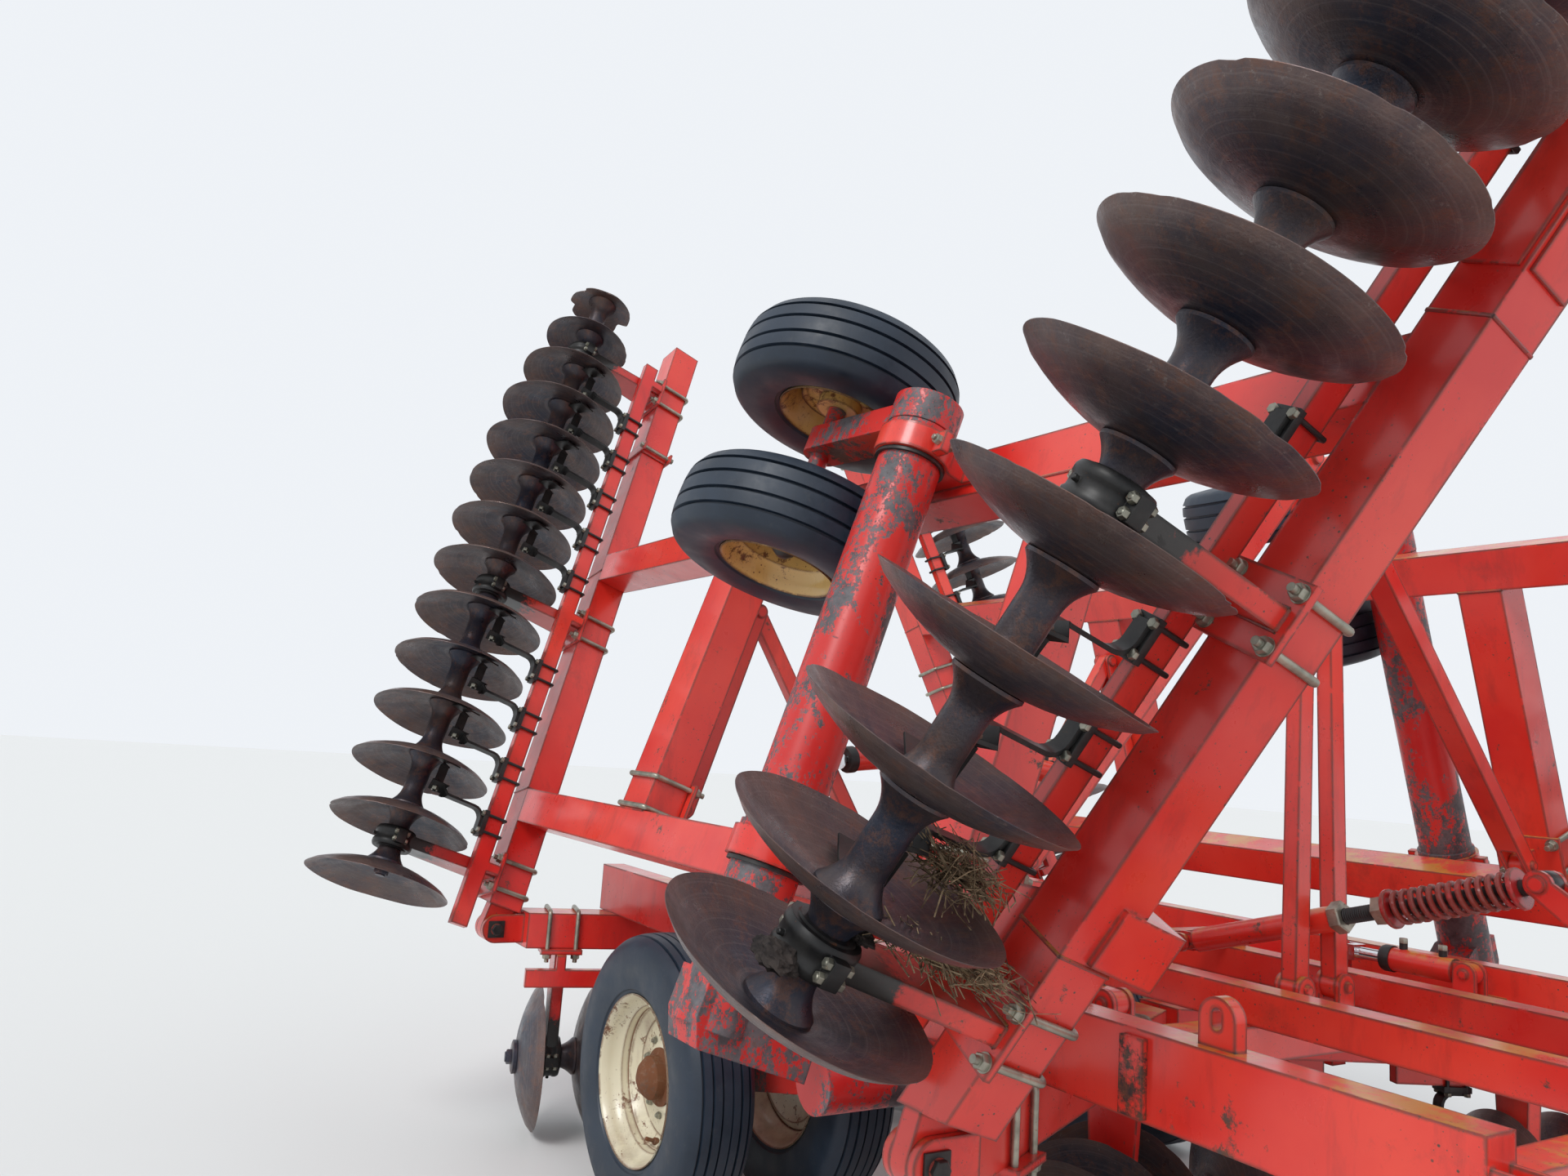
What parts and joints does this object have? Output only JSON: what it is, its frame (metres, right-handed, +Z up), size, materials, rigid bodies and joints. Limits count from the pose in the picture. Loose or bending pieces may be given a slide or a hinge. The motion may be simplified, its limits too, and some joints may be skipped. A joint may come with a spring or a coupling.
{
  "type": "disc harrow",
  "caption": "Winged tandem disc harrow folded for the road, with concave blades on spooled gangs, rockshaft wheels, fold linkage and a jack-stood tongue.",
  "frame": {"origin": "on the ground, midway between the hitch's nose and the rearmost blades, on the middle line", "axes": "+Z up, +Y rearward, the hitch towards -Y"},
  "size_m": [4.8526, 7.5902, 4.2242],
  "materials": {
    "red_paint": "weathered gloss, chipped",
    "blade_steel": "dark, soil-polished, rusty",
    "tyre": "ribbed, weathered",
    "cream_rim": "chalky, rust-stained",
    "yellow_rim": "chalky, rust-stained",
    "chrome_rod": "polished",
    "black_steel": "oily, dark"
  },
  "bodies": {
    "frame": {"main_rails": "red_paint", "cross_tubes": "red_paint", "centre_tubes": "red_paint", "front_centre_beams": "red_paint", "rear_centre_beams": "red_paint", "centre_standards": "red_paint", "centre_scraper_bars": "red_paint", "rockshaft_bearings": "red_paint", "right_lift_barrel": "red_paint", "left_lift_barrel": "red_paint"},
    "tongue": {"tongue": "red_paint", "jack_sleeve": "red_paint"},
    "jack": {"jack_leg": "black_steel"},
    "levelling_tube": {"levelling_tube": "red_paint"},
    "levelling_screw": {"levelling_screw": "black_steel"},
    "right_wing": {"right_wing_beams": "red_paint", "right_wing_rails": "red_paint", "right_wing_cross_tubes": "red_paint", "right_wing_standards": "red_paint", "right_wing_scraper_bars": "red_paint"},
    "right_front_arm": {"right_front_arm": "red_paint"},
    "right_front_link": {"right_front_link": "red_paint"},
    "right_rear_arm": {"right_rear_arm": "red_paint"},
    "right_rear_link": {"right_rear_link": "red_paint"},
    "right_fold_barrel": {"right_fold_barrel": "red_paint"},
    "right_fold_rod": {"right_fold_rod": "chrome_rod"},
    "right_front_gang": {"right_front_gang": "blade_steel"},
    "centre_right_front_gang": {"centre_right_front_gang": "blade_steel"},
    "right_rear_gang": {"right_rear_gang": "blade_steel"},
    "centre_right_rear_gang": {"centre_right_rear_gang": "blade_steel"},
    "right_rockshaft": {"right_rockshaft": "red_paint"},
    "right_wheels": {"right_tyres": "tyre", "right_rims": "yellow_rim"},
    "centre_right_rockshaft": {"centre_right_rockshaft": "red_paint"},
    "right_lift_rod": {"right_lift_rod": "chrome_rod"},
    "centre_right_wheels": {"centre_right_tyres": "tyre", "centre_right_rims": "cream_rim"},
    "left_wing": {"left_wing_beams": "red_paint", "left_wing_rails": "red_paint", "left_wing_cross_tubes": "red_paint", "left_wing_standards": "red_paint", "left_wing_scraper_bars": "red_paint"},
    "left_front_arm": {"left_front_arm": "red_paint"},
    "left_front_link": {"left_front_link": "red_paint"},
    "left_rear_arm": {"left_rear_arm": "red_paint"},
    "left_rear_link": {"left_rear_link": "red_paint"},
    "left_fold_barrel": {"left_fold_barrel": "red_paint"},
    "left_fold_rod": {"left_fold_rod": "chrome_rod"},
    "left_front_gang": {"left_front_gang": "blade_steel"},
    "centre_left_front_gang": {"centre_left_front_gang": "blade_steel"},
    "left_rear_gang": {"left_rear_gang": "blade_steel"},
    "centre_left_rear_gang": {"centre_left_rear_gang": "blade_steel"},
    "left_rockshaft": {"left_rockshaft": "red_paint"},
    "left_wheels": {"left_tyres": "tyre", "left_rims": "yellow_rim"},
    "centre_left_rockshaft": {"centre_left_rockshaft": "red_paint"},
    "left_lift_rod": {"left_lift_rod": "chrome_rod"},
    "centre_left_wheels": {"centre_left_tyres": "tyre", "centre_left_rims": "cream_rim"}
  },
  "joints": [
    {"name": "tongue_hinge", "type": "hinge", "parent": "frame", "child": "tongue", "pos_m": [0, -1.18997, 1.0475], "axis": [1, 0, 0], "range_deg": [-6, 6]},
    {"name": "jack_slide", "type": "slide", "parent": "tongue", "child": "jack", "axis": [0, 0, 1], "range_m": [0, 0.25]},
    {"name": "levelling_pivot", "type": "hinge", "parent": "frame", "child": "levelling_tube", "pos_m": [0, 0.41003, 1.18], "axis": [1, 0, 0], "range_deg": [-3, 3]},
    {"name": "levelling_slide", "type": "slide", "parent": "levelling_tube", "child": "levelling_screw", "axis": [0, -0.9569, 0.2905], "range_m": [-0.07, 0.07]},
    {"name": "right_wing_fold", "type": "hinge", "parent": "frame", "child": "right_wing", "pos_m": [-1.62, -0.18997, 0.87], "axis": [0, -1, 0], "range_deg": [0, 109]},
    {"name": "right_front_arm_pivot", "type": "hinge", "parent": "frame", "child": "right_front_arm", "pos_m": [-0.1, -0.05997, 1.13], "axis": [0, 1, 0], "range_deg": [-44.03, 0]},
    {"name": "right_front_link_pivot", "type": "hinge", "parent": "right_wing", "child": "right_front_link", "pos_m": [-1.23587, -0.05997, 1.50028], "axis": [0, 1, 0], "range_deg": [0, 107.06]},
    {"name": "right_rear_arm_pivot", "type": "hinge", "parent": "frame", "child": "right_rear_arm", "pos_m": [-0.315, 1.74003, 1.2], "axis": [0, 1, 0], "range_deg": [-47.65, 0]},
    {"name": "right_rear_link_pivot", "type": "hinge", "parent": "right_wing", "child": "right_rear_link", "pos_m": [-1.27749, 1.74003, 1.48077], "axis": [0, 1, 0], "range_deg": [0, 151.07]},
    {"name": "right_fold_barrel_pivot", "type": "hinge", "parent": "frame", "child": "right_fold_barrel", "pos_m": [-0.06, 1.64503, 1.77], "axis": [0, 1, 0], "range_deg": [-22.63, 0]},
    {"name": "right_fold_rod_slide", "type": "slide", "parent": "right_fold_barrel", "child": "right_fold_rod", "axis": [-0.9935, 0, -0.1141], "range_m": [0, 0.38445]},
    {"name": "right_front_gang_spin", "type": "hinge", "parent": "right_wing", "child": "right_front_gang", "pos_m": [-2.04886, -0.32055, 1.31385], "axis": [0.2951, -0.4226, 0.8569], "continuous": true},
    {"name": "centre_right_front_gang_spin", "type": "hinge", "parent": "frame", "child": "centre_right_front_gang", "pos_m": [-1.43874, -0.10544, 0.32], "axis": [-0.9063, -0.4226, 0], "continuous": true},
    {"name": "right_rear_gang_spin", "type": "hinge", "parent": "right_wing", "child": "right_rear_gang", "pos_m": [-2.13688, 2.82245, 1.05824], "axis": [0.3159, 0.2419, 0.9174], "continuous": true},
    {"name": "centre_right_rear_gang_spin", "type": "hinge", "parent": "frame", "child": "centre_right_rear_gang", "pos_m": [-1.38325, 2.761, 0.32], "axis": [-0.9703, 0.2419, 0], "continuous": true},
    {"name": "right_wing_lift", "type": "hinge", "parent": "right_wing", "child": "right_rockshaft", "pos_m": [-1.52136, 0.43003, 1.89366], "axis": [0.3256, 0, 0.9455], "range_deg": [0, 60]},
    {"name": "right_wheels_spin", "type": "hinge", "parent": "right_rockshaft", "child": "right_wheels", "pos_m": [-1.2857, 0.92703, 2.70091], "axis": [0.3256, 0, 0.9455], "continuous": true},
    {"name": "centre_right_lift", "type": "hinge", "parent": "frame", "child": "centre_right_rockshaft", "pos_m": [-1.12, 0.43003, 0.85], "axis": [1, 0, 0], "range_deg": [-9, 6]},
    {"name": "right_lift_rod_slide", "type": "slide", "parent": "frame", "child": "right_lift_rod", "axis": [0, 1, 0], "range_m": [-0.032, 0.046]},
    {"name": "centre_right_wheels_spin", "type": "hinge", "parent": "centre_right_rockshaft", "child": "centre_right_wheels", "pos_m": [-1, 1.70003, 0.51], "axis": [1, 0, 0], "continuous": true},
    {"name": "left_wing_fold", "type": "hinge", "parent": "frame", "child": "left_wing", "pos_m": [1.62, -0.18997, 0.87], "axis": [0, 1, 0], "range_deg": [0, 109]},
    {"name": "left_front_arm_pivot", "type": "hinge", "parent": "frame", "child": "left_front_arm", "pos_m": [0.1, -0.05997, 1.13], "axis": [0, -1, 0], "range_deg": [-44.03, 0]},
    {"name": "left_front_link_pivot", "type": "hinge", "parent": "left_wing", "child": "left_front_link", "pos_m": [1.23587, -0.05997, 1.50028], "axis": [0, -1, 0], "range_deg": [0, 107.06]},
    {"name": "left_rear_arm_pivot", "type": "hinge", "parent": "frame", "child": "left_rear_arm", "pos_m": [0.315, 1.74003, 1.2], "axis": [0, -1, 0], "range_deg": [-47.65, 0]},
    {"name": "left_rear_link_pivot", "type": "hinge", "parent": "left_wing", "child": "left_rear_link", "pos_m": [1.27749, 1.74003, 1.48077], "axis": [0, -1, 0], "range_deg": [0, 151.07]},
    {"name": "left_fold_barrel_pivot", "type": "hinge", "parent": "frame", "child": "left_fold_barrel", "pos_m": [0.06, 1.64503, 1.77], "axis": [0, -1, 0], "range_deg": [-22.63, 0]},
    {"name": "left_fold_rod_slide", "type": "slide", "parent": "left_fold_barrel", "child": "left_fold_rod", "axis": [0.9935, 0, -0.1141], "range_m": [0, 0.38445]},
    {"name": "left_front_gang_spin", "type": "hinge", "parent": "left_wing", "child": "left_front_gang", "pos_m": [2.04886, -0.32055, 1.31385], "axis": [-0.2951, -0.4226, 0.8569], "continuous": true},
    {"name": "centre_left_front_gang_spin", "type": "hinge", "parent": "frame", "child": "centre_left_front_gang", "pos_m": [1.43874, -0.10544, 0.32], "axis": [0.9063, -0.4226, 0], "continuous": true},
    {"name": "left_rear_gang_spin", "type": "hinge", "parent": "left_wing", "child": "left_rear_gang", "pos_m": [2.13688, 2.82245, 1.05824], "axis": [-0.3159, 0.2419, 0.9174], "continuous": true},
    {"name": "centre_left_rear_gang_spin", "type": "hinge", "parent": "frame", "child": "centre_left_rear_gang", "pos_m": [1.38325, 2.761, 0.32], "axis": [0.9703, 0.2419, 0], "continuous": true},
    {"name": "left_wing_lift", "type": "hinge", "parent": "left_wing", "child": "left_rockshaft", "pos_m": [1.52136, 0.43003, 1.89366], "axis": [0.3256, 0, -0.9455], "range_deg": [0, 60]},
    {"name": "left_wheels_spin", "type": "hinge", "parent": "left_rockshaft", "child": "left_wheels", "pos_m": [1.2857, 0.92703, 2.70091], "axis": [-0.3256, 0, 0.9455], "continuous": true},
    {"name": "centre_left_lift", "type": "hinge", "parent": "frame", "child": "centre_left_rockshaft", "pos_m": [1.12, 0.43003, 0.85], "axis": [1, 0, 0], "range_deg": [-9, 6]},
    {"name": "left_lift_rod_slide", "type": "slide", "parent": "frame", "child": "left_lift_rod", "axis": [0, 1, 0], "range_m": [-0.032, 0.046]},
    {"name": "centre_left_wheels_spin", "type": "hinge", "parent": "centre_left_rockshaft", "child": "centre_left_wheels", "pos_m": [1, 1.70003, 0.51], "axis": [1, 0, 0], "continuous": true}
  ],
  "couplings": [
    {"joint": "levelling_pivot", "follows": "tongue_hinge", "ratio": -0.27631},
    {"joint": "levelling_slide", "follows": "tongue_hinge", "m_per_rad": 0.58934},
    {"joint": "right_front_arm_pivot", "follows": "right_wing_fold", "ratio": -0.40349},
    {"joint": "right_front_link_pivot", "follows": "right_wing_fold", "ratio": 0.98169},
    {"joint": "right_rear_arm_pivot", "follows": "right_wing_fold", "ratio": -0.43669},
    {"joint": "right_rear_link_pivot", "follows": "right_wing_fold", "ratio": 1.3855},
    {"joint": "right_fold_barrel_pivot", "follows": "right_wing_fold", "ratio": -0.20717},
    {"joint": "right_fold_rod_slide", "follows": "right_wing_fold", "m_per_rad": 0.20182},
    {"joint": "right_lift_rod_slide", "follows": "centre_right_lift", "m_per_rad": -0.28},
    {"joint": "left_front_arm_pivot", "follows": "left_wing_fold", "ratio": -0.40349},
    {"joint": "left_front_link_pivot", "follows": "left_wing_fold", "ratio": 0.98169},
    {"joint": "left_rear_arm_pivot", "follows": "left_wing_fold", "ratio": -0.43669},
    {"joint": "left_rear_link_pivot", "follows": "left_wing_fold", "ratio": 1.3855},
    {"joint": "left_fold_barrel_pivot", "follows": "left_wing_fold", "ratio": -0.20717},
    {"joint": "left_fold_rod_slide", "follows": "left_wing_fold", "m_per_rad": 0.20182},
    {"joint": "left_lift_rod_slide", "follows": "centre_left_lift", "m_per_rad": -0.28}
  ]
}
